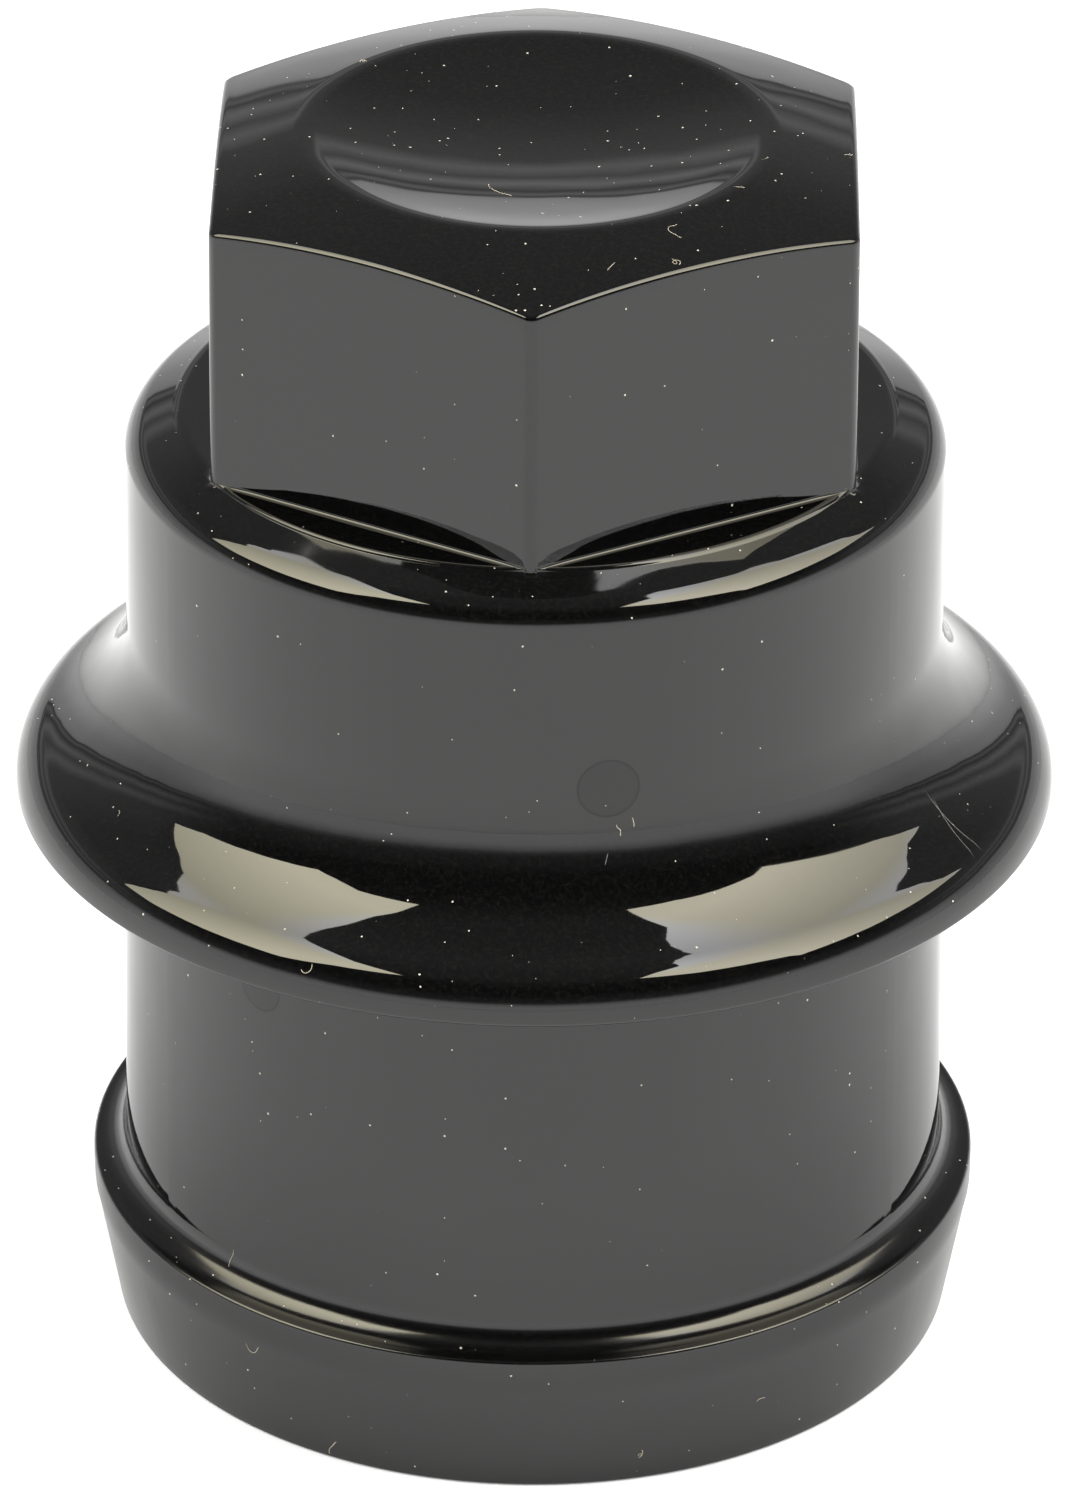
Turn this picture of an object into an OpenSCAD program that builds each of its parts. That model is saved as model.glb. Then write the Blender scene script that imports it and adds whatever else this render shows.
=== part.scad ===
// Wheel nut cover cap: one moulded shell with a dished hex head, a flange and a snap collar.
// Millimetres. The open mouth stands on z = 0, and +Z runs up the axis to the head.

/* [Hex head] */
// Width across the flats, for a standard socket
hex_af = 22; // [18:0.5:27]
// Radius of the six upright corners
hex_corner_r = 0.5; // [0.2:0.1:1.5]
// Height from the plinth to the rim of the dish
head_h = 10.44; // [7:0.02:16]
// Radius of the domed crown
dome_r = 43.5; // [30:0.5:80]
// Radius of the dish, from the axis to the top of its rim
dish_rim_r = 8; // [4:0.1:9]
// Depth of the dish below the top of its rim
dish_depth = 0.88; // [0.3:0.02:1.6]
// Radius that rounds the rim between dome and dish
dish_lip_r = 2; // [0.5:0.1:4]

/* [Plinth and shoulder] */
// How far the plinth's edge lies inside the corners of the hex
plinth_inset = 0.2; // [0:0.05:0.6]
// Radius on the plinth's edge
plinth_edge_r = 0.1; // [0.05:0.01:0.12]
// Depth of the hollow round the plinth
plinth_drop = 0.4; // [0.36:0.02:0.8]
// Radius of that hollow
plinth_hollow_r = 0.24; // [0.1:0.02:0.24]
// Fall of the land between that hollow and the shoulder's round, in degrees
shoulder_slope = 2; // [0:1:8]
// Radius of the shoulder's round
shoulder_r = 1.2; // [0.6:0.1:1.6]
// Where the barrel's wall cuts the round off, in degrees from level
shoulder_edge = 26; // [0:1:40]

/* [Barrel] */
// Height from the flange's seat to the plinth
barrel_h = 14.52; // [12:0.02:24]
// Wall round the hollow for the nut
barrel_wall = 1.83; // [1:0.01:3]
// Draft of the barrel's wall, in degrees
barrel_draft = 0.5; // [0:0.1:1]

/* [Flange] */
// How far the flange reaches out past the neck
flange_reach = 3.84; // [3:0.02:7]
// Height from the flange's seat to the top of its rounded rim
rim_h = 2.02; // [1.8:0.02:3.5]
// Radius that rounds the rim
rim_r = 1.58; // [0.8:0.02:1.6]
// Radius on the rim's lower edge
rim_foot_r = 0.18; // [0.05:0.01:0.4]
// Radius of the hollow sweep from the barrel down to the rim
sweep_r = 4.66; // [3.6:0.02:8]
// Radius in the corner between the seat and the neck
seat_fillet_r = 0.3; // [0.1:0.05:0.8]

/* [Neck] */
// Length from the collar's ledge to the flange's seat
neck_h = 14.87; // [8:0.01:24]
// Wall outside the root of the thread
neck_wall = 0.95; // [0.8:0.05:2]
// How much the neck widens from the seat down to the ledge
neck_flare = 0.14; // [0:0.01:0.3]
// Radius in the corner between the neck and the ledge
ledge_fillet_r = 1; // [0.1:0.05:1]

/* [Snap collar] */
// Height of the collar
collar_h = 5.58; // [4:0.02:9]
// How far the collar stands out past the foot of the neck
collar_reach = 1.18; // [1.16:0.02:2]
// Radius on the ledge's outer edge
ledge_edge_r = 0.15; // [0.05:0.01:0.17]
// Height of the upright band above the lead-in
band_h = 0.85; // [0.3:0.05:1.5]
// Slope of the lead-in, in degrees from upright
lead_in = 10.2; // [4:0.2:14]
// Radius on the foot of the collar
foot_r = 0.12; // [0.05:0.01:0.2]

/* [Thread and inside] */
// Outside diameter of the nut's thread
thread_d = 27; // [22:1:33]
// Pitch of the thread
thread_pitch = 2; // [1:0.25:3]
// Clearance between the two threads
thread_clearance = 0.08; // [0:0.02:0.2]
// Length of the threaded bore
thread_len = 13; // [8:0.5:16]
// Depth of the plain mouth below the thread
mouth_depth = 3; // [1:0.25:5]
// Clearance of the plain mouth round the nut's thread
mouth_clearance = 0.3; // [0.1:0.05:0.5]
// Chamfer round the mouth
mouth_chamfer = 0.3; // [0.1:0.05:0.4]
// Draft of the hollow above the thread, in degrees
hollow_draft = 0.2; // [0.1:0.1:1]
// Thickness of the roof under the plinth
roof_t = 2.2; // [1:0.1:3]
// Wall behind the flats of the hex
head_wall = 1.8; // [1.2:0.1:3]
// Thickness under the middle of the dish
crown_t = 2; // [1:0.1:3]
// Radius in the hollow's corners
hollow_corner_r = 0.8; // [0.3:0.1:1.2]

/* [Hidden] */

arc_step = 9;      // degrees turned in each facet of a small round
sweep_step = 5;    // degrees turned in each facet of the broad ones
thread_depth = 0.5413;    // depth of an inside thread, as a share of its pitch
hex_root = 0.5;    // how deep the hex is rooted in the plinth
over = 1;          // how far a cut or a blank runs past what it meets

// Heights, from the mouth upwards
ledge_z = collar_h;
seat_z = ledge_z + neck_h;
plinth_z = seat_z + barrel_h;
rim_z = plinth_z + head_h;

// Inside: the thread sets the neck, and the hollow for the nut sets the barrel
thread_rad = thread_d / 2 + thread_clearance;
bore_rad = thread_rad - thread_depth * thread_pitch;
mouth_rad = thread_d / 2 + mouth_clearance;
thread_z = mouth_depth + mouth_rad - bore_rad;
thread_top_z = thread_z + thread_len;
roof_z = plinth_z - roof_t;
hollow_rad = bore_rad - (roof_z - thread_top_z) * tan(hollow_draft);
core_rad = hex_af / 2 - head_wall;
core_top_z = rim_z - dish_depth - crown_t;

// Outside
neck_rad = thread_rad + neck_wall;
neck_foot_rad = neck_rad + neck_flare;
collar_rad = neck_foot_rad + collar_reach;
flange_rad = neck_rad + flange_reach;
hex_corner = hex_af / 2 / cos(30);
plinth_rad = hex_corner - plinth_inset;
shoulder_reach = shoulder_r * cos(shoulder_edge);
barrel_rad = max(hollow_rad + barrel_wall, plinth_rad + plinth_hollow_r + shoulder_reach);

// Shoulder: a hollow round the plinth, a straight land and a round, each tangent to the next
hollow_c = [plinth_rad + plinth_hollow_r, plinth_z - plinth_drop + plinth_hollow_r];
slope_top = hollow_c - plinth_hollow_r * [sin(shoulder_slope), cos(shoulder_slope)];
slope_run = barrel_rad - shoulder_reach + shoulder_r * sin(shoulder_slope) - slope_top.x;
shoulder_c = [barrel_rad - shoulder_reach,
              slope_top.y - slope_run * tan(shoulder_slope) - shoulder_r * cos(shoulder_slope)];

// Flange: the rim's round and the hollow sweep touch at rim_turn degrees above level
rim_c = [flange_rad - rim_r, seat_z + rim_h - rim_r];
sweep_x = barrel_rad + (barrel_h / 2) * tan(barrel_draft) + sweep_r;
rim_turn = acos((sweep_x - rim_c.x) / (sweep_r + rim_r));
sweep_c = [sweep_x, rim_c.y + (sweep_r + rim_r) * sin(rim_turn)];

// Crown: the lip's round touches the dome on the outside and the dish on the inside
lip_c = [dish_rim_r, rim_z - dish_lip_r];
dome_c = [0, lip_c.y - sqrt(pow(dome_r - dish_lip_r, 2) - pow(dish_rim_r, 2))];
dish_r = (pow(dish_rim_r, 2) + pow(dish_depth, 2)) / (2 * dish_depth) - dish_lip_r;
dish_c = [0, rim_z - dish_depth + dish_r];
lip_turn = [acos(dish_rim_r / (dome_r - dish_lip_r)), 180 - acos(dish_rim_r / (dish_r + dish_lip_r))];

// Points along an arc round c, from angle a to angle b
function arc(c, r, a, b, step = arc_step) =
    let (steps = max(2, ceil(abs(b - a) / step)))
    [for (i = [0 : steps]) let (t = a + (b - a) * i / steps) c + r * [cos(t), sin(t)]];

// Outline of the collar, from the foot up to the ledge
function collar_outline() =
    let (band_foot = [collar_rad, ledge_z - ledge_edge_r - band_h],
         foot_x = collar_rad - (band_foot.y - foot_r) * tan(lead_in) - foot_r / cos(lead_in))
    concat(
        arc([foot_x, foot_r], foot_r, -90, -lead_in),
        [band_foot],
        arc([collar_rad - ledge_edge_r, ledge_z - ledge_edge_r], ledge_edge_r, 0, 90));

// Outline of the neck, from the ledge up to the flange's seat
function neck_outline() = concat(
    arc([neck_foot_rad + ledge_fillet_r, ledge_z + ledge_fillet_r], ledge_fillet_r, 270, 180),
    arc([neck_rad + seat_fillet_r, seat_z - seat_fillet_r], seat_fillet_r, 180, 90));

// Outline of the flange, from the seat up to the barrel
function flange_outline() = concat(
    arc([flange_rad - rim_foot_r, seat_z + rim_foot_r], rim_foot_r, -90, 0),
    arc(rim_c, rim_r, 0, rim_turn, sweep_step),
    arc(sweep_c, sweep_r, 180 + rim_turn, 180, sweep_step));

// Outline of the shoulder and the plinth, from the barrel up to the axis
function shoulder_outline() = concat(
    arc(shoulder_c, shoulder_r, shoulder_edge, 90 - shoulder_slope, sweep_step),
    arc(hollow_c, plinth_hollow_r, 270 - shoulder_slope, 180),
    arc([plinth_rad - plinth_edge_r, plinth_z - plinth_edge_r], plinth_edge_r, 0, 90),
    [[0, plinth_z]]);

// Outline of the crown over the hex: dome, lip and dish
function crown_outline() =
    let (blank_rad = hex_corner + over)
    concat(
        [[0, plinth_z - hex_root], [blank_rad, plinth_z - hex_root]],
        arc(dome_c, dome_r, acos(blank_rad / dome_r), lip_turn[0], 1.5),
        arc(lip_c, dish_lip_r, lip_turn[0], lip_turn[1], sweep_step),
        arc(dish_c, dish_r, lip_turn[1] - 180, -90, 1.5));

// Outline of the hollow, from the mouth up to the core of the head
function inside_outline() = concat(
    [[0, -over], [mouth_rad + mouth_chamfer + over, -over]],
    [[mouth_rad, mouth_chamfer], [mouth_rad, mouth_depth]],
    [[bore_rad, thread_z], [bore_rad, thread_top_z]],
    arc([hollow_rad - hollow_corner_r, roof_z - hollow_corner_r], hollow_corner_r, 0, 90),
    [[core_rad, roof_z]],
    arc([core_rad - hollow_corner_r, core_top_z - hollow_corner_r], hollow_corner_r, 0, 90),
    [[0, core_top_z]]);

// Hexagon with round corners, one of them towards -Y
module hex_outline() {
    corner_dist = (hex_af / 2 - hex_corner_r) / cos(30);
    polygon([for (k = [0 : 5]) each
        let (a = 60 * k - 90)
        arc(corner_dist * [cos(a), sin(a)], hex_corner_r, a - 30, a + 30, 10)]);
}

// Everything below the head, turned round the axis
module turned_body() {
    rotate_extrude($fn = 96)
        polygon(concat([[0, 0]], collar_outline(), neck_outline(), flange_outline(), shoulder_outline()));
}

// Hex prism under a domed and dished crown
module hex_head() {
    intersection() {
        translate([0, 0, plinth_z - hex_root]) linear_extrude(height = hex_root + head_h + over) hex_outline();
        rotate_extrude($fn = 96) polygon(crown_outline());
    }
}

// Open inside: mouth, threaded bore, hollow for the nut's hex and core of the head
module inside() {
    rotate_extrude($fn = 96) polygon(inside_outline());
}

// The whole cap, as it leaves the mould
module nut_cap() {
    color([0.07, 0.07, 0.08]) difference() {
        union() {
            turned_body();
            hex_head();
        }
        inside();
    }
}

nut_cap();
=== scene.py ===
import bpy
import bmesh
import math
import random
from mathutils import Matrix, Vector
from mathutils.bvhtree import BVHTree


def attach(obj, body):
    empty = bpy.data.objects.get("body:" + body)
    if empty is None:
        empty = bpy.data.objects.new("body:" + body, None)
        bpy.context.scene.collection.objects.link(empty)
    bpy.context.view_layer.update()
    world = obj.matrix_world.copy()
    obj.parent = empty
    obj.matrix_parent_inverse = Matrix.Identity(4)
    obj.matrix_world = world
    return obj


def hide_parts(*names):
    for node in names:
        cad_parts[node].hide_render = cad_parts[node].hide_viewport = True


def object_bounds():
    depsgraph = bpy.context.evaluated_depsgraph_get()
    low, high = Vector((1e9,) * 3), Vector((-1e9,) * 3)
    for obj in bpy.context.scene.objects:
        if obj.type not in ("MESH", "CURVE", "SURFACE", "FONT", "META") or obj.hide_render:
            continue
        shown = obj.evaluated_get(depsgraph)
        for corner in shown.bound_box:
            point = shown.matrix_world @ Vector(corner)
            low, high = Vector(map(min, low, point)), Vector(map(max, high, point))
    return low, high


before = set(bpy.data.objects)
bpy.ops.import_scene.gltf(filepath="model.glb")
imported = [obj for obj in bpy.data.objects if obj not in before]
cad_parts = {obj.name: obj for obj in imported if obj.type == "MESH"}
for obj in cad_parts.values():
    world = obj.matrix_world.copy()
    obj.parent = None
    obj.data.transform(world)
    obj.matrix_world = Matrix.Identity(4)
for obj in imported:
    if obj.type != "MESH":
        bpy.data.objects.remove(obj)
cadLow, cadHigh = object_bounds()
mm = 0.001
print("frame loaded, the cap is", round((cadHigh.z - cadLow.z) / mm, 2), "mm high")


# sizes in millimetres and degrees, heights from the open mouth
hexHead = {
    "acrossFlats": 22.0, "cornerRound": 0.5, "draft": 0.33, "edgeRound": 0.24, "baseRound": 0.11,
    "top": 45.409, "domeRadius": 43.5, "lipRadius": 2.0, "lipMargin": 0.35, "rimRadius": 8.0,
    "dishDepth": 0.88,
    "cornerCuts": 8, "flatCuts": 26, "edgeCuts": 7, "lipCuts": 12, "dishCuts": 16,
}
body = {
    "plinthTop": 34.97, "plinthRadius": 12.62, "plinthDrop": 0.12,
    "plinthRound": 0.14, "plinthSoft": 0.35, "plinthSides": 0.9,
    "softAt": 38, "softTo": (14, 22), "sidesFrom": (54, 66),
    "shoulderFall": 24, "shoulderRound": 1.2, "shoulderEdge": 13, "barrelTop": 14.3, "barrelFoot": 14.34,
    "rimRadius": 18.36, "rimRound": 1.78, "rimTop": 22.47, "sweepRound": 5.15, "rimFoot": 0.18,
    "seat": 20.45, "seatMiddle": 16.5, "seatRound": 0.3, "neckTop": 14.53, "neckFoot": 14.66, "neckStep": 2.2,
    "ledge": 5.58, "ledgeHollow": 1.0, "collar": 15.85, "ledgeRound": 0.15,
    "bandFoot": 4.58, "bendAbove": 0.25, "bendBelow": 0.15, "bendIn": 0.012,
    "taperRings": (4.1, 3.2, 2.1, 1.0, 0.4),
    "footRadius": 15.02, "footRound": 0.12, "footEase": 0.02,
}
inside = {
    "mouth": 13.8, "mouthChamfer": 0.3, "mouthDepth": 3.0, "leadIn": 0.3, "runOut": 1.1,
    "threadRoot": 13.56, "threadCrest": 12.5, "threadFoot": 4.3, "threadTop": 17.3, "pitch": 2.0, "flank": 30,
    "turnSteps": 72, "ridgeSink": 0.15, "ridgeEnd": 0.4, "rootSlack": 0.01, "fadeTurns": 0.3, "fadeRate": 2,
    "hollowFoot": 12.47, "hollowTop": 12.44, "roof": 32.77, "cornerRound": 0.8,
    "core": 9.2, "coreChamfer": 0.3, "coreTop": 42.53, "coreRings": (5.0, 0.5),
}


def arcPoints(centre, radius, start, end, steps):
    turns = [math.radians(start + (end - start) * k / steps) for k in range(steps + 1)]
    return [(centre[0] + radius * math.cos(t), centre[1] + radius * math.sin(t)) for t in turns]


def crownCurve(h):  # centres and radii of the dome, the lip and the dish, each touching the next
    lipX, lipZ = h["rimRadius"], h["top"] - h["lipRadius"]
    domeZ = lipZ - math.sqrt((h["domeRadius"] - h["lipRadius"]) ** 2 - lipX ** 2)
    dishRadius = (lipX ** 2 + h["dishDepth"] ** 2) / (2 * h["dishDepth"]) - h["lipRadius"]
    dishZ = h["top"] - h["dishDepth"] + dishRadius
    outer = lipX * h["domeRadius"] / (h["domeRadius"] - h["lipRadius"])
    inner = lipX * dishRadius / (dishRadius + h["lipRadius"])

    def height(r):
        if r > outer:
            return domeZ + math.sqrt(h["domeRadius"] ** 2 - r ** 2)
        if r > inner:
            return lipZ + math.sqrt(h["lipRadius"] ** 2 - (r - lipX) ** 2)
        return dishZ - math.sqrt(dishRadius ** 2 - r ** 2)
    return height, inner, outer


def easeStep(value, start, end):  # 0 at start, 1 at end, smooth between
    share = min(1.0, max(0.0, (value - start) / (end - start)))
    return share * share * (3 - 2 * share)


def plinthEdge(b, bearing, share):  # down the plinth's edge, softer at the front right, softest at the sides
    soft = 1 - easeStep(abs(bearing - b["softAt"]), *b["softTo"])
    radius = b["plinthRound"] + (b["plinthSoft"] - b["plinthRound"]) * soft
    radius += (b["plinthSides"] - radius) * easeStep(abs(bearing), *b["sidesFrom"])
    end = math.asin(1 - b["plinthDrop"] / radius)
    angle = math.pi / 2 + (end - math.pi / 2) * share
    r = b["plinthRadius"] + radius * (math.cos(angle) - math.cos(end))
    return r, b["plinthTop"] - radius * (1 - math.sin(angle))


def shoulderCurve(b):  # from the plinth's foot down to the barrel, whose wall cuts the round off
    fall, cut = math.radians(b["shoulderFall"]), math.radians(b["shoulderEdge"])
    centreX = b["barrelTop"] - b["shoulderRound"] * math.cos(cut)
    footX, footZ = b["plinthRadius"], b["plinthTop"] - b["plinthDrop"]
    run = centreX + b["shoulderRound"] * math.sin(fall) - footX
    centre = (centreX, footZ - run * math.tan(fall) - b["shoulderRound"] * math.cos(fall))
    points = [(footX + run * k, footZ - run * math.tan(fall) * k) for k in (0.015, 0.25, 0.5, 0.75)]
    return points + arcPoints(centre, b["shoulderRound"], 90 - b["shoulderFall"], b["shoulderEdge"], steps=16)


def wallCurve(b):  # the barrel's wall, with rings near its ends that keep its shading straight
    top, foot = shoulderCurve(b)[-1], flangeCurve(b)[0]
    shares = (0.015, 0.05, 0.2, 0.4, 0.6, 0.8, 0.95, 0.985)
    return [(top[0] + (foot[0] - top[0]) * k, top[1] + (foot[1] - top[1]) * k) for k in shares]


def flangeCurve(b):  # the hollow sweep off the barrel, then the rim's round, down to the seat
    rim = (b["rimRadius"] - b["rimRound"], b["rimTop"] - b["rimRound"])
    sweepX = b["barrelFoot"] + b["sweepRound"]
    reach = b["sweepRound"] + b["rimRound"]
    turn = math.degrees(math.acos((sweepX - rim[0]) / reach))
    sweep = (sweepX, rim[1] + reach * math.sin(math.radians(turn)))
    points = arcPoints(sweep, b["sweepRound"], 180, 180 + turn, steps=26)
    points += arcPoints(rim, b["rimRound"], turn, 0, steps=20)[1:]
    foot = (b["rimRadius"] - b["rimFoot"], b["seat"] + b["rimFoot"])
    return points + arcPoints(foot, b["rimFoot"], 0, -90, steps=6)


def neckCurve(b):  # under the flange, down the neck, over the ledge and down the collar
    corner = (b["neckTop"] + b["seatRound"], b["seat"] - b["seatRound"])
    points = [(b["seatMiddle"], b["seat"])] + arcPoints(corner, b["seatRound"], 90, 180, steps=6)
    draft = b["neckFoot"] - b["neckTop"]
    points += [(b["neckTop"] + draft * k / 6, b["seat"] - b["neckStep"] * k) for k in range(1, 6)]
    hollow = (b["neckFoot"] + b["ledgeHollow"], b["ledge"] + b["ledgeHollow"])
    points += arcPoints(hollow, b["ledgeHollow"], 180, 270, steps=10)
    edge = (b["collar"] - b["ledgeRound"], b["ledge"] - b["ledgeRound"])
    points += arcPoints(edge, b["ledgeRound"], 90, 0, steps=6)
    # the band below the ledge bends softly into a taper down to the foot
    points += [(b["collar"], b["bandFoot"] + b["bendAbove"])]
    points += [(b["collar"] - b["bendIn"], b["bandFoot"] - b["bendBelow"])]
    lean = math.atan((b["collar"] - b["footRadius"]) / b["bandFoot"])
    points += [(b["collar"] - (b["bandFoot"] - z) * math.tan(lean), z) for z in b["taperRings"]]
    foot = (b["footRadius"] + b["footEase"] - b["footRound"], b["footRound"])
    return points + arcPoints(foot, b["footRound"], -math.degrees(lean), -90, steps=5)


def hollowCurve(i):  # up the inside, from the mouth to the middle of the core
    points = [(i["mouth"] + i["mouthChamfer"], 0.0), (i["mouth"], i["mouthChamfer"])]
    points += [(i["mouth"], i["mouthDepth"]), (i["threadRoot"], i["mouthDepth"] + i["leadIn"])]
    points += [(i["threadRoot"], i["threadTop"]), (i["hollowFoot"], i["threadTop"] + i["runOut"])]
    corner = (i["hollowTop"] - i["cornerRound"], i["roof"] - i["cornerRound"])
    points += [(i["hollowTop"], corner[1])] + arcPoints(corner, i["cornerRound"], 0, 90, steps=6)
    points += [(i["core"] + i["coreChamfer"], i["roof"]), (i["core"], i["roof"] + i["coreChamfer"])]
    corner = (i["core"] - i["cornerRound"], i["coreTop"] - i["cornerRound"])
    points += [(i["core"], corner[1])] + arcPoints(corner, i["cornerRound"], 0, 90, steps=6)
    return points + [(r, i["coreTop"]) for r in i["coreRings"]]


def growRing(mesh, ring, place):  # extrudes the open edge loop and puts each new point where place says
    grown = bmesh.ops.extrude_edge_only(mesh, edges=ring)["geom"]
    points = {g for g in grown if isinstance(g, bmesh.types.BMVert)}
    for point in points:
        point.co = place(point)
    return [g for g in grown if isinstance(g, bmesh.types.BMEdge) and set(g.verts) <= points]


def hexOutline(mesh, h):  # a hexagon with round corners, one of them towards -Y
    sharp = h["acrossFlats"] / 2 / math.cos(math.radians(30))
    bmesh.ops.create_circle(mesh, cap_ends=False, segments=6, radius=sharp)
    cut = h["cornerRound"] * math.tan(math.radians(30))
    bmesh.ops.bevel(mesh, geom=mesh.verts[:], affect="VERTICES", offset=cut, offset_type="OFFSET",
                    segments=h["cornerCuts"], profile=0.5, material=-1)
    flats = [e for e in mesh.edges if e.calc_length() > 2]
    bmesh.ops.subdivide_edges(mesh, edges=flats, cuts=h["flatCuts"])


def closeRing(mesh, ring, z):  # draws the open loop together at a height on the axis
    points = list({v for e in ring for v in e.verts})
    bmesh.ops.pointmerge(mesh, verts=points, merge_co=Vector((0, 0, z)) * mm)


def makeCapShell():
    h, b, i = hexHead, body, inside
    mesh = bmesh.new()
    # each point remembers the hexagon's reach at its own turn round the axis
    reach = mesh.verts.layers.float.new("reach")
    turn = mesh.verts.layers.float.new("turn")
    hexOutline(mesh, h)
    for v in mesh.verts:
        v[reach] = v.co.xy.length
        v[turn] = math.atan2(v.co.y, v.co.x)
    crown, inner, outer = crownCurve(h)

    def spot(v, r, z):
        return Vector((r * math.cos(v[turn]), r * math.sin(v[turn]), z)) * mm

    def side(v, z):  # the hex's side at a height, with its draft
        return v[reach] + (h["top"] - z) * math.tan(math.radians(h["draft"]))

    def onEdge(v, share):  # round the crown's edge, from the side up to the dome
        fillet, skew = h["edgeRound"], v[reach] / (h["acrossFlats"] / 2)
        slope = math.asin(v[reach] / h["domeRadius"])
        z = crown(v[reach]) + fillet * skew * math.tan(slope) - fillet / math.cos(slope)
        turned = share * (math.pi / 2 - slope)
        return spot(v, side(v, z) - fillet * skew * (1 - math.cos(turned)), z + fillet * math.sin(turned))

    def onPlinthEdge(v, share):  # radius and height at the point's bearing from the front
        return plinthEdge(b, math.degrees(math.atan2(math.cos(v[turn]), -math.sin(v[turn]))), share)

    start = mesh.edges[:]
    for v in mesh.verts:
        v.co = onEdge(v, 0)
    # inwards over the crown: dome, lip, dish
    ring = start
    for step in range(1, h["edgeCuts"] + 1):
        ring = growRing(mesh, ring, lambda v, step=step: onEdge(v, step / h["edgeCuts"]))
    for share in (0.96, 0.88, 0.76, 0.62, 0.46, 0.3, 0.15, 0.0):
        def onDome(v, share=share):
            top = onEdge(v, 1).xy.length / mm
            r = outer + h["lipMargin"] + (top - outer - h["lipMargin"]) * share
            return spot(v, r, crown(r))
        ring = growRing(mesh, ring, onDome)
    radii = [outer + (inner - outer) * k / h["lipCuts"] for k in range(h["lipCuts"] + 1)]
    radii += [inner * (1 - k / h["dishCuts"]) for k in range(1, h["dishCuts"])]
    for r in radii:
        ring = growRing(mesh, ring, lambda v, r=r: spot(v, r, crown(r)))
    closeRing(mesh, ring, crown(0))
    # down the hex's sides to the round at its base
    ring = start
    baseZ = b["plinthTop"] + h["baseRound"]
    for share in (0.04, 0.33, 0.64, 0.96, 1.0):
        def onSide(v, share=share):
            top = onEdge(v, 0).z / mm
            z = top + (baseZ - top) * share
            return spot(v, side(v, z), z)
        ring = growRing(mesh, ring, onSide)
    for angle in (15, 30, 45, 60, 75, 90):
        def onBase(v, angle=math.radians(angle)):
            root = side(v, b["plinthTop"])
            room = min(h["baseRound"], max(0.0, onPlinthEdge(v, 0)[0] - root))
            return spot(v, root + room * (1 - math.cos(angle)), baseZ - h["baseRound"] * math.sin(angle))
        ring = growRing(mesh, ring, onBase)
    for share in (0.1, 0.5, 0.9):
        def onPlinth(v, share=share):
            root, flatEnd = side(v, b["plinthTop"]), onPlinthEdge(v, 0)[0]
            flatStart = min(root + h["baseRound"], max(root, flatEnd))
            return spot(v, max(flatStart + (flatEnd - flatStart) * share, root), b["plinthTop"])
        ring = growRing(mesh, ring, onPlinth)
    # the turned body; the hex's corners stand proud of the plinth until they sink in the shoulder
    for share in (0, 0.14, 0.28, 0.42, 0.56, 0.7, 0.85, 1):
        def onRound(v, share=share):
            r, z = onPlinthEdge(v, share)
            return spot(v, max(r, side(v, z)), z)
        ring = growRing(mesh, ring, onRound)
    for r, z in shoulderCurve(b):
        ring = growRing(mesh, ring, lambda v, r=r, z=z: spot(v, max(r, side(v, z)), z))
    for r, z in wallCurve(b) + flangeCurve(b) + neckCurve(b) + hollowCurve(i):
        ring = growRing(mesh, ring, lambda v, r=r, z=z: spot(v, r, z))
    closeRing(mesh, ring, i["coreTop"])
    weld = 0.0005 * mm
    bmesh.ops.remove_doubles(mesh, verts=mesh.verts, dist=weld)
    bmesh.ops.dissolve_degenerate(mesh, edges=mesh.edges, dist=weld)
    bmesh.ops.recalc_face_normals(mesh, faces=mesh.faces)
    openEdges = sum(1 for e in mesh.edges if not e.is_manifold)
    print("cap shell:", len(mesh.faces), "faces,", openEdges, "open edges")
    return mesh


def makeThread(i):  # one ridge, wound up the bore by a screw spin and faded out at both ends
    mesh = bmesh.new()
    depth = i["threadRoot"] - i["threadCrest"]
    crest = i["pitch"] / 16  # half of the flat crest
    foot = depth * math.tan(math.radians(i["flank"])) + crest
    section = [(i["ridgeSink"], -foot), (0.0, -foot), (-depth, -crest), (-depth, crest), (0.0, foot),
               (i["ridgeSink"], foot)]
    startZ = i["threadFoot"]
    turns = (i["threadTop"] - i["ridgeEnd"] - startZ) / i["pitch"]
    rise = turns * i["pitch"]
    verts = [mesh.verts.new(((i["threadRoot"] + r) * mm, 0, (startZ + z) * mm)) for r, z in section]
    edges = [mesh.edges.new((verts[k], verts[(k + 1) % len(verts)])) for k in range(len(verts))]
    steps = round(turns * i["turnSteps"])
    bmesh.ops.spin(mesh, geom=verts + edges, cent=(0, 0, 0), axis=(0, 0, 1), angle=turns * 2 * math.pi,
                   steps=steps, dvec=(0, 0, rise / steps * mm), use_merge=False)
    bmesh.ops.holes_fill(mesh, edges=[e for e in mesh.edges if e.is_boundary])
    for v in mesh.verts:
        r = v.co.xy.length / mm
        turned = (v.co.z / mm - startZ) / i["pitch"]
        fadeIn = max(0.0, turned + i["fadeTurns"]) * i["fadeRate"]
        fadeOut = max(0.0, rise / i["pitch"] + i["fadeTurns"] - turned) * i["fadeRate"]
        fade = min(1.0, fadeIn, fadeOut)
        if r < i["threadRoot"] - i["rootSlack"]:
            wanted = i["threadRoot"] - (i["threadRoot"] - r) * fade
            v.co.xy = v.co.xy * wanted / r
    bmesh.ops.recalc_face_normals(mesh, faces=mesh.faces)
    return mesh


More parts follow.
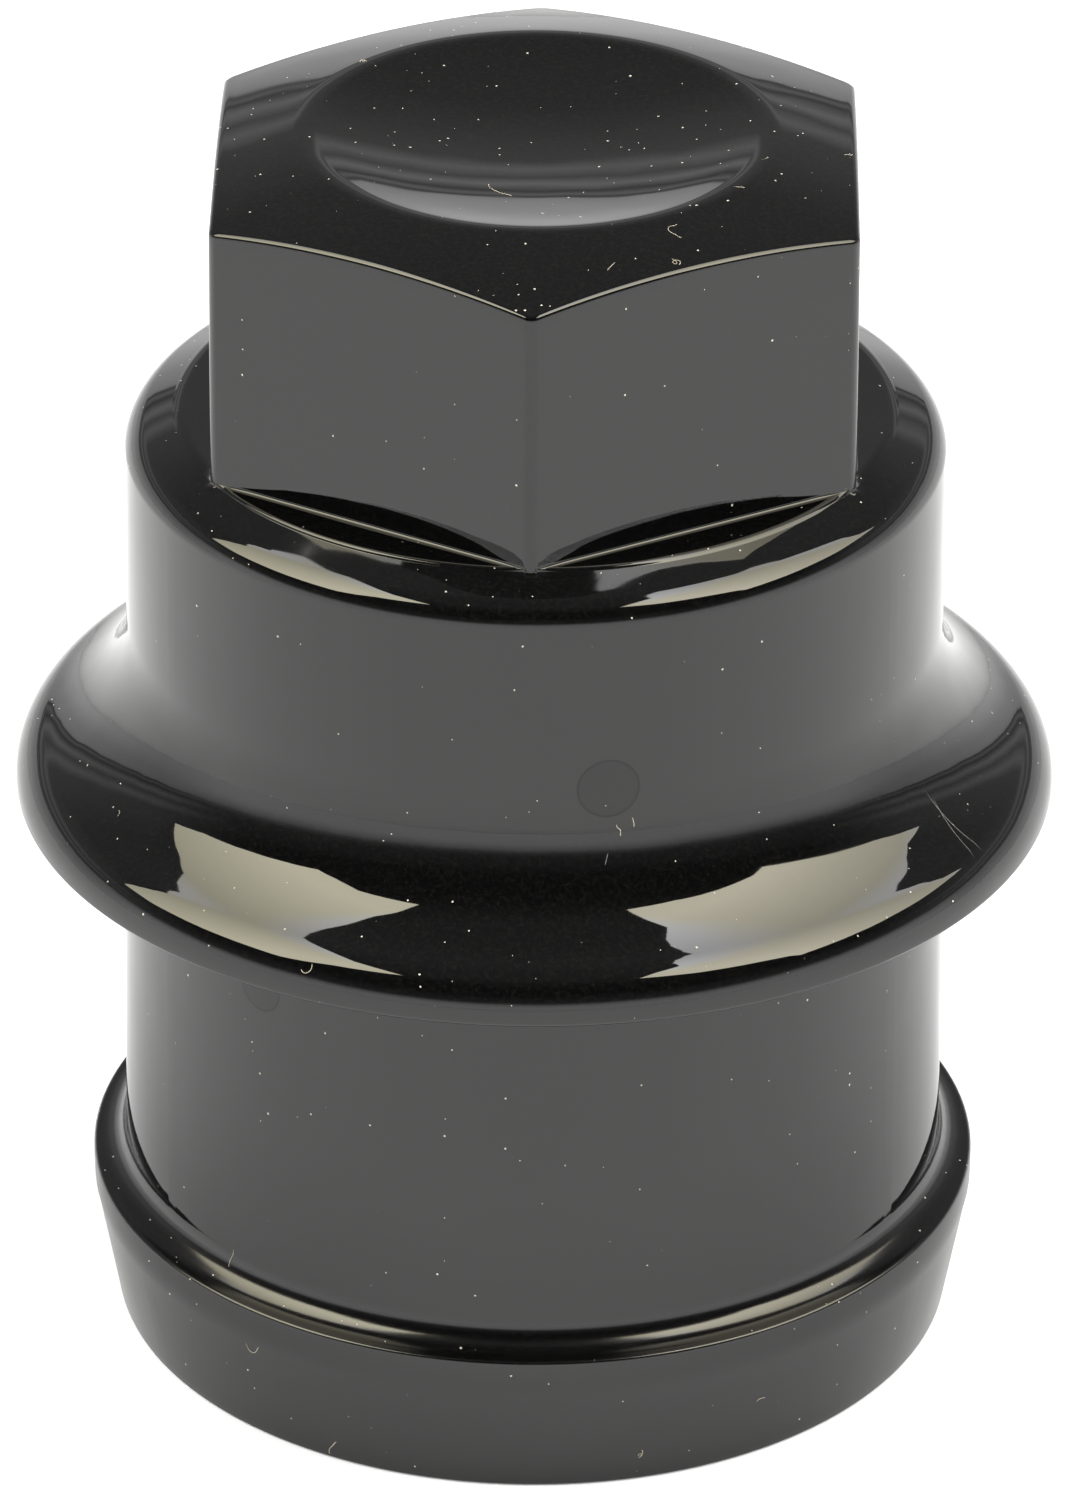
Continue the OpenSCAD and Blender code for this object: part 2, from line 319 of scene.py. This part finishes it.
def addPiece(name, mesh, dataName):  # a bmesh becomes an object in the scene
    data = bpy.data.meshes.new(dataName)
    mesh.to_mesh(data)
    mesh.free()
    piece = bpy.data.objects.new(name, data)
    bpy.context.scene.collection.objects.link(piece)
    return piece


shell = makeCapShell()
thread = makeThread(inside)
threadData = bpy.data.meshes.new("threadRidge")
thread.to_mesh(threadData)
thread.free()
shell.from_mesh(threadData)
bpy.data.meshes.remove(threadData)
cap = addPiece("nut_cap_shell", shell, "nutCapShell")
capData = cap.data
for face in capData.polygons:
    face.use_smooth = True
weighted = cap.modifiers.new("even faces", "WEIGHTED_NORMAL")
weighted.mode = "FACE_AREA"
weighted.weight = 50
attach(cap, "root")
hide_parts("nut_cap")
print("cap shell made:", len(capData.polygons), "faces")


def linear(hexColour):  # an sRGB hex value as linear colour
    parts = [int(hexColour[k:k + 2], 16) / 255 for k in (1, 3, 5)]
    return tuple(p / 12.92 if p <= 0.04045 else ((p + 0.055) / 1.055) ** 2.4 for p in parts) + (1.0,)


def addNode(tree, kind, settings=None, links=None):  # a link comes from an output, or from a node's first one
    node = tree.nodes.new(kind)
    for name, value in (settings or {}).items():
        if isinstance(name, str) and hasattr(node, name):
            setattr(node, name, value)
        else:
            node.inputs[name].default_value = value
    for name, source in (links or {}).items():
        if isinstance(source, bpy.types.Node):
            source = source.outputs[0]
        tree.links.new(source, node.inputs[name])
    return node


def newMaterial(name):
    material = bpy.data.materials.new(name)
    material.use_nodes = True
    material.node_tree.nodes.clear()
    return material, material.node_tree


# the plastic and the marks on it, in millimetres; a chance is the share of the cells that hold a speck
plastic = {
    "colour": "#060606", "ior": 1.54, "mirror": 0.5, "roughness": 0.025,
    "wornPatch": 5.0, "wornFrom": 0.42, "wornTo": 0.75, "wornRoughness": 0.06,
    "lowerFrom": 7.2, "lowerTo": 5.6, "lowerGloss": 0.14,
    "wave": 3.5, "waveHeight": 0.02, "ripple": 1.3, "rippleHeight": 0.004,
    "dustColour": "#cdc5b5", "speckCell": 0.26, "speckSize": 0.042, "speckLeast": 0.0156, "speckRarity": 4.0,
    "raggedGrain": 0.06, "ragged": 0.026, "speckRoughness": 0.8,
    "chanceBeside": 0.13, "chanceAbove": 0.4, "facingBeside": 0.2, "facingAbove": 0.9,
    "filmGrain": 0.15, "filmFrom": 0.4, "filmTo": 0.9, "filmCover": 0.012,
    "dullEdge": 0.12, "dullRoughness": 0.16, "dullLoss": 0.05, "rimLoss": 0.12,
    "scratchColour": "#8f8d88", "scratchHalf": 0.018, "scratchLean": 20, "scratchFade": (1.05, 0.6),
    "scratchRoughness": 0.45,
    # the dull round mark low on the barrel and the smear on the neck, each as a place and a radius
    "dullSpots": [((2.7, -14.1, 27.4), 1.12), ((-9.3, -11.2, 17.8), 0.9)],
    # two scratches over the flange and one on the barrel, each from end to end
    "scratches": [((13.6, -7.3, 23.7), (15.7, -8.5, 22.1)), ((13.9, -7.3, 23.5), (15.4, -9.0, 22.1)),
                  ((2.7, -14.4, 25.1), (2.6, -14.6, 24.7))],
}


def strongest(tree, masks):  # the largest of several values at each point
    most = masks[0]
    for mask in masks[1:]:
        most = addNode(tree, "ShaderNodeMath", {"operation": "MAXIMUM"}, {0: most, 1: mask})
    return most


def scratchMask(tree, where, start, end):  # 1 on a line over the skin, fading beside it and at its ends
    start, end = Vector(start) * mm, Vector(end) * mm
    middle, half = (start + end) / 2, (end - start).length / 2
    # the line lies where the skin meets a plane through both ends, which leans outwards and up
    lean = Vector((middle.x, middle.y, plastic["scratchLean"] * mm))
    across = (end - start).cross(lean).normalized()
    along = addNode(tree, "ShaderNodeVectorMath", {"operation": "DOT_PRODUCT", 1: across}, {0: where})
    off = addNode(tree, "ShaderNodeMath", {
        "operation": "SUBTRACT", 1: across.dot(middle)}, {0: along.outputs["Value"]})
    beside = addNode(tree, "ShaderNodeMath", {"operation": "ABSOLUTE"}, {0: off})
    near = addNode(tree, "ShaderNodeMapRange", {
        "interpolation_type": "SMOOTHSTEP", "From Min": plastic["scratchHalf"] * mm, "From Max": 0.0},
        {"Value": beside})
    far = addNode(tree, "ShaderNodeVectorMath", {"operation": "DISTANCE", 1: middle}, {0: where})
    gone, full = plastic["scratchFade"]
    reach = addNode(tree, "ShaderNodeMapRange", {
        "interpolation_type": "SMOOTHSTEP", "From Min": half * gone, "From Max": half * full},
        {"Value": far.outputs["Value"]})
    return addNode(tree, "ShaderNodeMath", {"operation": "MULTIPLY"}, {0: near, 1: reach})


def blackMouldedAbs():
    p = plastic
    material, tree = newMaterial("black moulded ABS")
    coords = addNode(tree, "ShaderNodeTexCoord")
    where = coords.outputs["Object"]
    # dust specks up to a tenth of a millimetre across, more on what faces up: pale grains over the gloss
    cells = addNode(tree, "ShaderNodeTexVoronoi", {"Scale": 1 / (p["speckCell"] * mm)}, {"Vector": where})
    draw = addNode(tree, "ShaderNodeSeparateXYZ", links={0: cells.outputs["Color"]})
    facing = addNode(tree, "ShaderNodeSeparateXYZ", links={0: coords.outputs["Normal"]})
    chance = addNode(tree, "ShaderNodeMapRange", {
        "interpolation_type": "SMOOTHSTEP", "From Min": p["facingBeside"], "From Max": p["facingAbove"],
        "To Min": p["chanceBeside"], "To Max": p["chanceAbove"]}, {"Value": facing.outputs["Z"]})
    kept = addNode(tree, "ShaderNodeMath", {"operation": "LESS_THAN"}, {0: draw.outputs["X"], 1: chance})
    rare = addNode(tree, "ShaderNodeMath", {
        "operation": "POWER", 1: p["speckRarity"]}, {0: draw.outputs["Y"]})
    size = addNode(tree, "ShaderNodeMath", {
        "operation": "MULTIPLY_ADD", 1: p["speckSize"] / p["speckCell"], 2: p["speckLeast"] / p["speckCell"]},
        {0: rare})
    # the specks' outlines are ragged, with grains of 0.06 mm
    rough = addNode(tree, "ShaderNodeTexNoise", {
        "Scale": 1 / (p["raggedGrain"] * mm), "Detail": 1}, {"Vector": where})
    outline = addNode(tree, "ShaderNodeMath", {
        "operation": "MULTIPLY_ADD", 1: p["ragged"] / p["speckCell"]},
        {0: rough, 2: cells.outputs["Distance"]})
    within = addNode(tree, "ShaderNodeMath", {"operation": "LESS_THAN"}, {0: outline, 1: size})
    speck = addNode(tree, "ShaderNodeMath", {"operation": "MULTIPLY"}, {0: within, 1: kept})
    # hairline scratches that catch the light
    scratch = strongest(tree, [scratchMask(tree, where, start, end) for start, end in p["scratches"]])
    # dull spots, as if something had touched the mould or the cap: the mirror image blurs there
    spots = []
    for place, radius in p["dullSpots"]:
        far = addNode(tree, "ShaderNodeVectorMath", {
            "operation": "DISTANCE", 1: Vector(place) * mm}, {0: where})
        spots.append(addNode(tree, "ShaderNodeMapRange", {
            "interpolation_type": "SMOOTHSTEP",
            "From Min": radius * mm, "From Max": (radius - p["dullEdge"]) * mm},
            {"Value": far.outputs["Value"]}))
    dull = strongest(tree, spots)
    # a spot's rim, dull times clear, is a quarter at the most; there the skin mirrors least
    clear = addNode(tree, "ShaderNodeMath", {"operation": "SUBTRACT", 0: 1.0}, {1: dull})
    rim = addNode(tree, "ShaderNodeMath", {"operation": "MULTIPLY"}, {0: dull, 1: clear})
    loss = addNode(tree, "ShaderNodeMath", {"operation": "MULTIPLY", 1: p["dullLoss"]}, {0: dull})
    loss = addNode(tree, "ShaderNodeMath", {
        "operation": "MULTIPLY_ADD", 1: 4 * p["rimLoss"]}, {0: rim, 2: loss})
    mirror = addNode(tree, "ShaderNodeMath", {"operation": "SUBTRACT", 0: p["mirror"]}, {1: loss})
    # the gloss changes over patches of 5 mm, as handled plastic does
    patches = addNode(tree, "ShaderNodeTexNoise", {
        "Scale": 1 / (p["wornPatch"] * mm), "Detail": 4, "Roughness": 0.6}, {"Vector": where})
    worn = addNode(tree, "ShaderNodeMapRange", {
        "interpolation_type": "SMOOTHSTEP", "From Min": p["wornFrom"], "From Max": p["wornTo"],
        "To Min": p["roughness"], "To Max": p["wornRoughness"]}, {"Value": patches})
    blurred = addNode(tree, "ShaderNodeMath", {
        "operation": "MULTIPLY_ADD", 1: p["dullRoughness"]}, {0: dull, 2: worn})
    # the ledge and the collar came from a less polished part of the mould: their lights are soft
    height = addNode(tree, "ShaderNodeSeparateXYZ", links={0: where})
    low = addNode(tree, "ShaderNodeMapRange", {
        "interpolation_type": "SMOOTHSTEP", "From Min": p["lowerFrom"] * mm, "From Max": p["lowerTo"] * mm,
        "To Max": p["lowerGloss"]}, {"Value": height.outputs["Z"]})
    skin = addNode(tree, "ShaderNodeMath", {"operation": "ADD"}, {0: blurred, 1: low})
    onSpeck = addNode(tree, "ShaderNodeMath", {"operation": "MULTIPLY", 1: p["speckRoughness"]}, {0: speck})
    onScratch = addNode(tree, "ShaderNodeMath", {
        "operation": "MULTIPLY", 1: p["scratchRoughness"]}, {0: scratch})
    gloss = strongest(tree, [skin, onSpeck, onScratch])
    # long waves and short ripples of the moulded skin, which bend the lines that it mirrors
    wave = addNode(tree, "ShaderNodeTexNoise", {
        "Scale": 1 / (p["wave"] * mm), "Detail": 0}, {"Vector": where})
    ripple = addNode(tree, "ShaderNodeTexNoise", {
        "Scale": 1 / (p["ripple"] * mm), "Detail": 0}, {"Vector": where})
    waved = addNode(tree, "ShaderNodeBump", {"Distance": p["waveHeight"] * mm}, {"Height": wave})
    rippled = addNode(tree, "ShaderNodeBump", {
        "Distance": p["rippleHeight"] * mm}, {"Height": ripple, "Normal": waved})
    # a thin uneven film of fine dust greys the black
    film = addNode(tree, "ShaderNodeTexNoise", {
        "Scale": 1 / (p["filmGrain"] * mm), "Detail": 3, "Roughness": 0.7}, {"Vector": where})
    thin = addNode(tree, "ShaderNodeMapRange", {
        "interpolation_type": "SMOOTHSTEP", "From Min": p["filmFrom"], "From Max": p["filmTo"],
        "To Max": p["filmCover"]}, {"Value": film})
    dusty = addNode(tree, "ShaderNodeMix", {
        "data_type": "RGBA", 6: linear(p["colour"]), 7: linear(p["dustColour"])}, {0: thin})
    scratched = addNode(tree, "ShaderNodeMix", {
        "data_type": "RGBA", 7: linear(p["scratchColour"])}, {0: scratch, 6: dusty.outputs[2]})
    colour = addNode(tree, "ShaderNodeMix", {
        "data_type": "RGBA", 7: linear(p["dustColour"])}, {0: speck, 6: scratched.outputs[2]})
    shader = addNode(tree, "ShaderNodeBsdfPrincipled", {"IOR": p["ior"]}, {
        "Base Color": colour.outputs[2], "Roughness": gloss, "Specular IOR Level": mirror, "Normal": rippled})
    addNode(tree, "ShaderNodeOutputMaterial", links={"Surface": shader})
    return material


capData.materials.append(blackMouldedAbs())

# fibres of lint, 0.026 mm thick: where each one starts, its length and how much it curls
lint = {
    "radius": 0.013, "lie": 0.9, "steps": 14, "seed": 5, "bendKept": 0.6, "bendNew": 0.5, "bendBias": 0.15,
    "colour": "#d9cfba", "shade": "#a89d88", "grain": 0.2, "roughness": 0.9, "ior": 1.47,
    "fibres": [
        ((-1.6, -3.0, 44.7), 1.5, 0.2), ((4.8, -7.3, 45.3), 1.2, 1.0), ((4.9, -9.5, 44.9), 1.1, 1.0),
        ((2.5, -10.1, 44.9), 0.5, 0.2), ((7.6, -2.3, 45.4), 0.5, 1.1), ((7.1, -4.5, 45.4), 0.4, 0.1),
        ((10.8, -0.6, 44.8), 0.4, 0.7), ((-10.4, -10.4, 6.7), 0.8, 0.3), ((-9.9, -12.3, 4.0), 1.0, 0.5),
        ((-6.7, -13.6, 0.8), 0.8, 0.3), ((3.9, -14.5, 1.0), 0.9, 1.3), ((8.3, -12.9, 2.5), 0.4, 0.2),
        ((-7.7, -16.5, 21.6), 0.7, 0.5), ((3.1, -14.1, 25.6), 0.5, 1.0), ((3.5, -13.9, 26.2), 0.35, 0.3),
        ((-14.3, -8.1, 22.8), 0.3, 0.3), ((9.5, 8.0, 29.0), 0.8, 0.8), ((-6.0, 5.5, 45.0), 0.9, 1.0),
        ((-12.0, 9.5, 22.6), 1.1, 0.6), ((2.0, 14.4, 12.0), 0.7, 0.9),
    ],
}


def layFibre(mesh, skin, place, length, curl, chance):
    radius = lint["radius"] * mm
    spot, up = skin.find_nearest(Vector(place) * mm)[:2]
    heading = up.orthogonal().normalized()
    heading.rotate(Matrix.Rotation(chance.uniform(0, 2 * math.pi), 3, up))
    bend, rings = 0.0, []
    for step in range(lint["steps"]):
        aside = up.cross(heading).normalized()
        centre = spot + up * radius * lint["lie"]
        centre.z = min(centre.z, cadHigh.z - radius)  # it stays below the top of the CAD's box
        rings.append([mesh.verts.new(centre + (aside * math.cos(a) + up * math.sin(a)) * radius)
                      for a in (0.0, math.pi / 2, math.pi, 3 * math.pi / 2)])
        bend = bend * lint["bendKept"] + chance.uniform(-1, 1) * lint["bendNew"] + curl * lint["bendBias"]
        heading.rotate(Matrix.Rotation(bend * curl, 3, up))
        spot, up = skin.find_nearest(spot + heading * length / lint["steps"] * mm)[:2]
        heading = (heading - up * heading.dot(up)).normalized()
    for one, two in zip(rings, rings[1:]):
        for k in range(4):
            mesh.faces.new((one[k], one[k - 1], two[k - 1], two[k]))
    mesh.faces.new(rings[0])
    mesh.faces.new(rings[-1][::-1])


def cottonLint():  # dull and pale, a tangle of cellulose that shows no gloss
    material, tree = newMaterial("cotton lint")
    coords = addNode(tree, "ShaderNodeTexCoord")
    grain = addNode(tree, "ShaderNodeTexNoise", {
        "Scale": 1 / (lint["grain"] * mm)}, {"Vector": coords.outputs["Object"]})
    colour = addNode(tree, "ShaderNodeMix", {
        "data_type": "RGBA", 6: linear(lint["shade"]), 7: linear(lint["colour"])}, {0: grain})
    shader = addNode(tree, "ShaderNodeBsdfPrincipled", {
        "Roughness": lint["roughness"], "IOR": lint["ior"]}, {"Base Color": colour.outputs[2]})
    addNode(tree, "ShaderNodeOutputMaterial", links={"Surface": shader})
    return material


def makeFibres():
    chance = random.Random(lint["seed"])
    skin = BVHTree.FromPolygons([v.co for v in capData.vertices], [f.vertices for f in capData.polygons])
    mesh = bmesh.new()
    for place, length, curl in lint["fibres"]:
        layFibre(mesh, skin, place, length, curl, chance)
    bmesh.ops.recalc_face_normals(mesh, faces=mesh.faces)
    piece = addPiece("lint_fibres", mesh, "lintFibres")
    piece.data.materials.append(cottonLint())
    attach(piece, "root")


makeFibres()
print("materials made,", len(lint["fibres"]), "fibres laid")


# the table, in millimetres; its lift is how much lighter it is seen than lit
table = {
    "radius": 600, "gap": 0.02, "colour": "#f6f6f5", "lift": 0.25,
    "liftEndsAt": 50, "liftFullAt": -10, "dimWithin": 14, "clearBeyond": 34,
}


def makeTable():
    mesh = bmesh.new()
    bmesh.ops.create_circle(mesh, cap_ends=True, segments=96, radius=table["radius"] * mm,
                            matrix=Matrix.Translation((0, 0, -table["gap"] * mm)))
    floor = addPiece("floor", mesh, "floor")
    material, tree = newMaterial("white table")
    lit = addNode(tree, "ShaderNodeBsdfDiffuse", {"Color": linear(table["colour"])})
    # the camera and the mirrored view see the table a little lighter: it stays white and still shows the
    # shadow; in the mirrored view it isn't lifted behind the cap, where the plastic mirrors it at a grazing
    # angle, and close under the collar
    path = addNode(tree, "ShaderNodeLightPath")
    coords = addNode(tree, "ShaderNodeTexCoord")
    parts = addNode(tree, "ShaderNodeSeparateXYZ", links={0: coords.outputs["Object"]})
    ahead = addNode(tree, "ShaderNodeMapRange", {
        "From Min": table["liftEndsAt"] * mm, "From Max": table["liftFullAt"] * mm},
        {"Value": parts.outputs["Y"]})
    far = addNode(tree, "ShaderNodeVectorMath", {"operation": "LENGTH"}, {0: coords.outputs["Object"]})
    clear = addNode(tree, "ShaderNodeMapRange", {
        "From Min": table["dimWithin"] * mm, "From Max": table["clearBeyond"] * mm},
        {"Value": far.outputs["Value"]})
    inView = addNode(tree, "ShaderNodeMath", {"operation": "MULTIPLY"}, {0: ahead, 1: clear})
    mirrored = addNode(tree, "ShaderNodeMath", {
        "operation": "MULTIPLY"}, {0: path.outputs["Is Glossy Ray"], 1: inView})
    seen = addNode(tree, "ShaderNodeMath", {
        "operation": "MAXIMUM"}, {0: path.outputs["Is Camera Ray"], 1: mirrored})
    lift = addNode(tree, "ShaderNodeMath", {"operation": "MULTIPLY", 1: table["lift"]}, {0: seen})
    glow = addNode(tree, "ShaderNodeEmission", links={"Strength": lift})
    both = addNode(tree, "ShaderNodeAddShader", links={0: lit, 1: glow})
    addNode(tree, "ShaderNodeOutputMaterial", links={"Surface": both})
    floor.data.materials.append(material)


def direction(bearing, rise):  # bearing from the front, positive to the right, both in degrees
    a, e = math.radians(bearing), math.radians(rise)
    return Vector((math.sin(a) * math.cos(e), -math.cos(a) * math.cos(e), math.sin(e)))


# the two lit cloths, in millimetres and degrees: their corners are bearings and rises, placed as the flange
# and the shoulder mirror them; a cloth is whiter at its top and back, and brighter in front than behind
cloths = {
    "distance": 1000, "whiteFromZ": 840, "whiteToZ": 930, "whiteFromY": 280, "whiteToY": 420,
    "levelFromY": -300, "levelToY": 300, "levelFront": 9.44, "levelBack": 4.602, "given": 0.94,
    "leftBox": {"colour": "#fff9dc", "corners": [
        (-35.6, 53.5), (-60, 62.5), (-80, 66.4), (-100, 67.6), (-120, 66.4), (-130, 64.6), (-135, 62),
        (-137, 58), (-136.5, 54), (-132, 51.5), (-127, 50), (-117, 48), (-111, 43), (-107, 37),
        (-103.5, 28.5), (-94, 29.5), (-80, 33.5), (-60, 37), (-56, 41), (-52, 47)]},
    "rightBox": {"colour": "#fff8df", "corners": [
        (31.6, 56), (60, 68.5), (80, 74.3), (102, 75.6), (122, 74), (131, 70), (136, 65),
        (137.5, 60), (136.5, 54), (132, 50), (126, 46), (119, 42), (115, 37), (116, 31),
        (100, 33), (84, 35), (64.5, 35.5), (63.5, 40), (56, 46), (44, 51)]},
}


def litCloth(colour):
    c = cloths
    material, tree = newMaterial("lit cloth")
    coords = addNode(tree, "ShaderNodeTexCoord")
    parts = addNode(tree, "ShaderNodeSeparateXYZ", links={0: coords.outputs["Object"]})
    top = addNode(tree, "ShaderNodeMapRange", {
        "From Min": c["whiteFromZ"] * mm, "From Max": c["whiteToZ"] * mm}, {"Value": parts.outputs["Z"]})
    back = addNode(tree, "ShaderNodeMapRange", {
        "From Min": c["whiteFromY"] * mm, "From Max": c["whiteToY"] * mm}, {"Value": parts.outputs["Y"]})
    white = strongest(tree, [top, back])
    warm = addNode(tree, "ShaderNodeMix", {
        "data_type": "RGBA", 6: linear(colour), 7: linear("#ffffff")}, {0: white})
    level = addNode(tree, "ShaderNodeMapRange", {
        "From Min": c["levelFromY"] * mm, "From Max": c["levelToY"] * mm,
        "To Min": c["levelFront"], "To Max": c["levelBack"]}, {"Value": parts.outputs["Y"]})
    # it looks warm in a reflection, while the light it gives is balanced to white
    path = addNode(tree, "ShaderNodeLightPath")
    shade = addNode(tree, "ShaderNodeMix", {
        "data_type": "RGBA", 6: (c["given"], c["given"], c["given"], 1)},
        {0: path.outputs["Is Glossy Ray"], 7: warm.outputs[2]})
    glow = addNode(tree, "ShaderNodeEmission", links={"Color": shade.outputs[2], "Strength": level})
    addNode(tree, "ShaderNodeOutputMaterial", links={"Surface": glow})
    return material


def makeCloths():
    for name in ("leftBox", "rightBox"):
        mesh = bmesh.new()
        corners = cloths[name]["corners"]
        rim = [mesh.verts.new(direction(*corner) * cloths["distance"] * mm) for corner in corners]
        middle = mesh.verts.new(sum((v.co for v in rim), Vector()) / len(rim))
        for k, v in enumerate(rim):
            mesh.faces.new((middle, v, rim[(k + 1) % len(rim)]))
        cloth = addPiece(name, mesh, name)
        cloth.data.materials.append(litCloth(cloths[name]["colour"]))


# how bright the rest of the room is, as pairs of degrees above the horizon and a level; the front gives way
# to the back between two values of Y on the unit sphere
room = {
    # the table's far part and the dark room
    "front": [(0, 1.8), (4, 1.75), (6, 1.6), (8, 1.3), (10, 0.95), (12, 0.42), (14, 0.2), (16, 0.14),
              (24, 0.08), (28, 0.03), (38, 0.02), (47, 0.03), (56, 0.08), (66, 0.15), (90, 0.15)],
    # a white sweep with two dark seams across it
    "back": [(0, 1.2), (3, 1.1), (6, 0.97), (9, 0.93), (10.8, 0.85), (11.3, 0.13), (12.2, 0.47), (13.3, 0.18),
             (15.5, 0.6), (17.6, 0.29), (20.2, 0.57), (22.8, 0.29), (28, 0.27), (36, 0.2), (90, 0.22)],
    "frontUntil": -0.2, "backFrom": 0.4,
}


def levelRamp(tree, sine, levels):  # the room's level at each rise, whose sine comes in
    rise = addNode(tree, "ShaderNodeMath", {"operation": "ARCSINE"}, {0: sine})
    share = addNode(tree, "ShaderNodeMath", {"operation": "DIVIDE", 1: math.pi / 2}, {0: rise})
    ramp = addNode(tree, "ShaderNodeValToRGB", links={0: share})
    stops = ramp.color_ramp.elements
    while len(stops) < len(levels):
        stops.new(0.5)
    for stop, (degrees, level) in zip(stops, levels):
        stop.position = degrees / 90
        stop.color = (level, level, level, 1)
    return ramp


def makeRoom():
    world = bpy.data.worlds.new("studio")
    world.use_nodes = True
    tree = world.node_tree
    tree.nodes.clear()
    coords = addNode(tree, "ShaderNodeTexCoord")
    parts = addNode(tree, "ShaderNodeSeparateXYZ", links={0: coords.outputs["Generated"]})
    front = levelRamp(tree, parts.outputs["Z"], room["front"])
    back = levelRamp(tree, parts.outputs["Z"], room["back"])
    side = addNode(tree, "ShaderNodeMapRange", {
        "interpolation_type": "SMOOTHSTEP", "From Min": room["frontUntil"], "From Max": room["backFrom"]},
        {"Value": parts.outputs["Y"]})
    mixed = addNode(tree, "ShaderNodeMix", {"data_type": "RGBA"}, {0: side, 6: front, 7: back})
    sky = addNode(tree, "ShaderNodeBackground", links={"Color": mixed.outputs[2]})
    addNode(tree, "ShaderNodeOutputWorld", links={"Surface": sky})
    bpy.context.scene.world = world


# fitted to the hex's corners and the outline in the photograph, in pixels of 1068 by 1500
view = {
    "rise": 28.45, "bearing": 0.72, "roll": 0.25, "distance": 345.0, "target": (-0.01, 0.0, 21.22),
    "focalPixels": 9738.3, "longSide": 1500, "sensor": 36, "nearest": 10, "farthest": 20000,
}


def makeCamera():
    data = bpy.data.cameras.new("camera")
    data.sensor_width = view["sensor"]
    data.lens = view["focalPixels"] * data.sensor_width / view["longSide"]
    data.clip_start, data.clip_end = view["nearest"] * mm, view["farthest"] * mm
    camera = bpy.data.objects.new("camera", data)
    bpy.context.scene.collection.objects.link(camera)
    back = direction(view["bearing"], view["rise"])
    right = direction(view["bearing"] + 90, 0)
    roll = math.radians(view["roll"])
    up = back.cross(right)
    right, up = math.cos(roll) * right + math.sin(roll) * up, math.cos(roll) * up - math.sin(roll) * right
    turn = Matrix((right, up, back)).transposed().to_4x4()
    camera.matrix_world = Matrix.Translation((Vector(view["target"]) + back * view["distance"]) * mm) @ turn
    bpy.context.scene.camera = camera


makeTable()
makeCloths()
makeRoom()
makeCamera()
bpy.context.scene.view_settings.view_transform = "Standard"
print("table, cloths, room and camera made")
